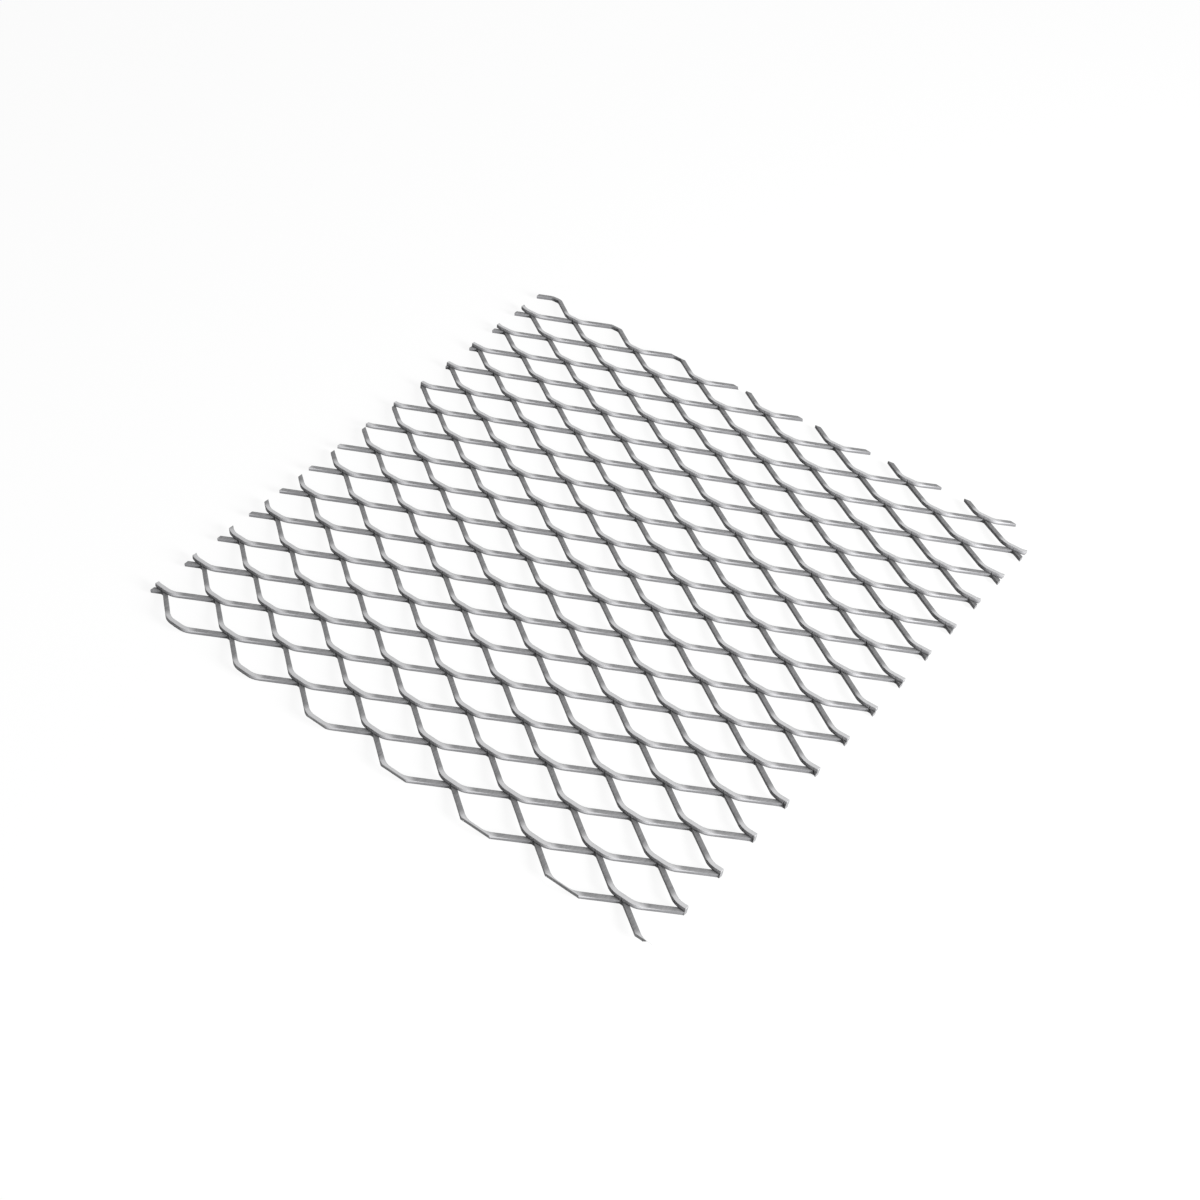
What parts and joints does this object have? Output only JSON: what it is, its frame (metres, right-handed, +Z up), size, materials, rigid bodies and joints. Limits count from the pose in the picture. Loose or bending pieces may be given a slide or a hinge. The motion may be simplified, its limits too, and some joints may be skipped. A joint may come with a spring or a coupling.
{
  "type": "expanded metal sheet",
  "caption": "Square-cut piece of raised expanded steel mesh with diamond openings, for guards, screens, infill panels and grating.",
  "frame": {"origin": "on the floor under the middle of the sheet, with the sheet lying flat", "axes": "+X along the long way of the mesh, +Y along the short way, +Z up"},
  "size_m": [0.2942, 0.2958, 0.0039],
  "materials": {
    "steel": "bare rolled steel, satin, with bright sheared edges"
  },
  "bodies": {
    "root": {"expanded_sheet": "steel"}
  },
  "joints": []
}
